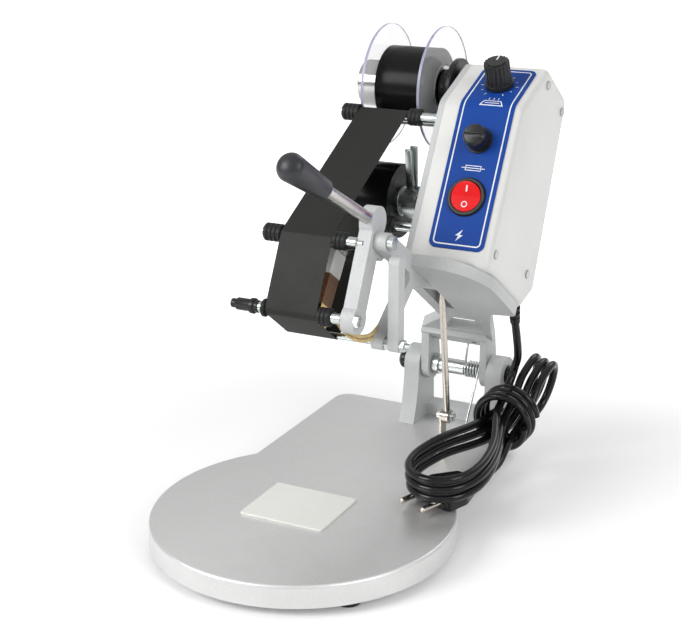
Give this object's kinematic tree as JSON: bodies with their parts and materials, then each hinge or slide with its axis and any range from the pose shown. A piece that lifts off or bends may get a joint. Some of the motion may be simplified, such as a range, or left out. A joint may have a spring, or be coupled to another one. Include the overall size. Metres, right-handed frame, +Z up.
{
  "type": "manual date coder",
  "caption": "Manual desk date coder: round-nosed cast base, swing-up arm with ribbon reels, heated type head, lever handle and a slanted control box with a tied power cord.",
  "frame": {"origin": "centre of the object's footprint at table level", "axes": "+X to the right, +Y from the round nose to the hinge at the rear, +Z up; the arm is stored raised"},
  "size_m": [0.2061, 0.317, 0.311],
  "materials": {
    "cast_grey": "satin silver-grey paint on a casting",
    "box_paint": "satin off-white paint",
    "rubber_black": "matt",
    "silicone_pad": "satin, slightly milky",
    "zinc_steel": "bright zinc",
    "nickel_sheet": "satin nickel",
    "chrome": "polished",
    "bronze": "sintered, oily",
    "brass": "machined",
    "black_plastic": "satin",
    "grip_plastic": "satin charcoal",
    "cord_black": "glossy",
    "panel_blue": "printed film",
    "rocker_red": "glossy, translucent",
    "board_green": "solder resist",
    "insulator_white": "matt",
    "carrier_brown": "satin phenolic",
    "ribbon_film": "satin coated film",
    "flange_clear": "clear acrylic"
  },
  "bodies": {
    "base": {"base_plate": "cast_grey", "rubber_feet": "rubber_black", "foot_screws": "zinc_steel", "print_pad": "silicone_pad", "pivot_bracket": "cast_grey", "bracket_bolts": "zinc_steel", "pivot_axle": "chrome", "axle_caps": "black_plastic", "axle_sleeve": "zinc_steel", "return_spring": "zinc_steel", "rod_bracket": "nickel_sheet", "rod_screws": "zinc_steel", "power_cord": "cord_black", "cord_hank": "cord_black", "cord_tie": "cord_black", "plug_body": "cord_black", "plug_pins": "brass"},
    "arm": {"arm_frame": "cast_grey", "arm_bushes": "bronze", "reel_plate": "cast_grey", "box_shell": "box_paint", "box_screws": "zinc_steel", "control_panel": "panel_blue", "switch_bezel": "black_plastic", "fuse_holder": "black_plastic", "potentiometer": "zinc_steel", "control_board": "board_green", "cord_gland": "cord_black", "spring_nut": "zinc_steel", "front_link": "cast_grey", "link_nuts": "zinc_steel", "handle_rod": "chrome", "handle_grip": "grip_plastic", "head_bar": "zinc_steel", "insulator_block": "insulator_white", "carrier_block": "carrier_brown", "heating_block": "brass", "heater_cartridge": "zinc_steel", "type_holder": "brass", "type_slugs": "brass", "type_screw": "brass", "support_leg": "cast_grey", "guide_rods": "zinc_steel", "guide_rings": "rubber_black", "rod_knob": "black_plastic", "ribbon": "ribbon_film", "supply_shaft": "zinc_steel", "drag_hub": "black_plastic", "takeup_bush": "bronze"},
    "supply_reel": {"reel_flanges": "flange_clear", "supply_roll": "ribbon_film", "reel_hub": "chrome"},
    "takeup_reel": {"takeup_shaft": "zinc_steel", "takeup_roll": "ribbon_film"},
    "feed_crank": {"feed_crank": "zinc_steel"},
    "feed_rod": {"feed_rod": "zinc_steel"},
    "tension_lever": {"tension_lever": "zinc_steel"},
    "temperature_knob": {"temperature_knob": "black_plastic"},
    "power_rocker": {"power_rocker": "rocker_red"},
    "fuse_cap": {"fuse_cap": "black_plastic"}
  },
  "joints": [
    {"name": "arm_swing", "type": "hinge", "parent": "base", "child": "arm", "pos_m": [0.03, 0.12446, 0.063], "axis": [1, 0, 0], "range_deg": [0, 36], "stiffness_Nm_per_rad": 3, "springref_deg": -91.67, "deforming": ["return_spring", "power_cord"]},
    {"name": "supply_reel_spin", "type": "hinge", "parent": "arm", "child": "supply_reel", "pos_m": [-0.002, 0.11654, 0.269], "axis": [1, 0, 0], "continuous": true},
    {"name": "takeup_reel_spin", "type": "hinge", "parent": "arm", "child": "takeup_reel", "pos_m": [0, 0.05874, 0.20222], "axis": [1, 0, 0], "continuous": true},
    {"name": "feed_crank_turn", "type": "hinge", "parent": "arm", "child": "feed_crank", "pos_m": [0.0515, 0.05874, 0.20222], "axis": [1, 0, 0], "range_deg": [-139, 0]},
    {"name": "feed_rod_swing", "type": "hinge", "parent": "base", "child": "feed_rod", "pos_m": [0.0455, 0.06846, 0.048], "axis": [1, 0, 0], "range_deg": [0, 39]},
    {"name": "tension_lever_turn", "type": "hinge", "parent": "arm", "child": "tension_lever", "pos_m": [0.025, 0.05874, 0.20222], "axis": [1, 0, 0], "range_deg": [-25, 25]},
    {"name": "temperature_knob_turn", "type": "hinge", "parent": "arm", "child": "temperature_knob", "pos_m": [0.072, 0.0895, 0.27773], "axis": [0, -0.3693, 0.9293], "range_deg": [-150, 150]},
    {"name": "power_rocker_tilt", "type": "hinge", "parent": "arm", "child": "power_rocker", "pos_m": [0.072, 0.03494, 0.21658], "axis": [1, 0, 0], "range_deg": [-16, 0]},
    {"name": "fuse_cap_turn", "type": "hinge", "parent": "arm", "child": "fuse_cap", "pos_m": [0.072, 0.05655, 0.24838], "axis": [0, -0.8552, 0.5182], "range_deg": [0, 90]}
  ],
  "couplings": [
    {"joint": "feed_rod_swing", "follows": "arm_swing", "ratio": 1.0706},
    {"joint": "feed_crank_turn", "follows": "arm_swing", "ratio": -3.8479}
  ]
}
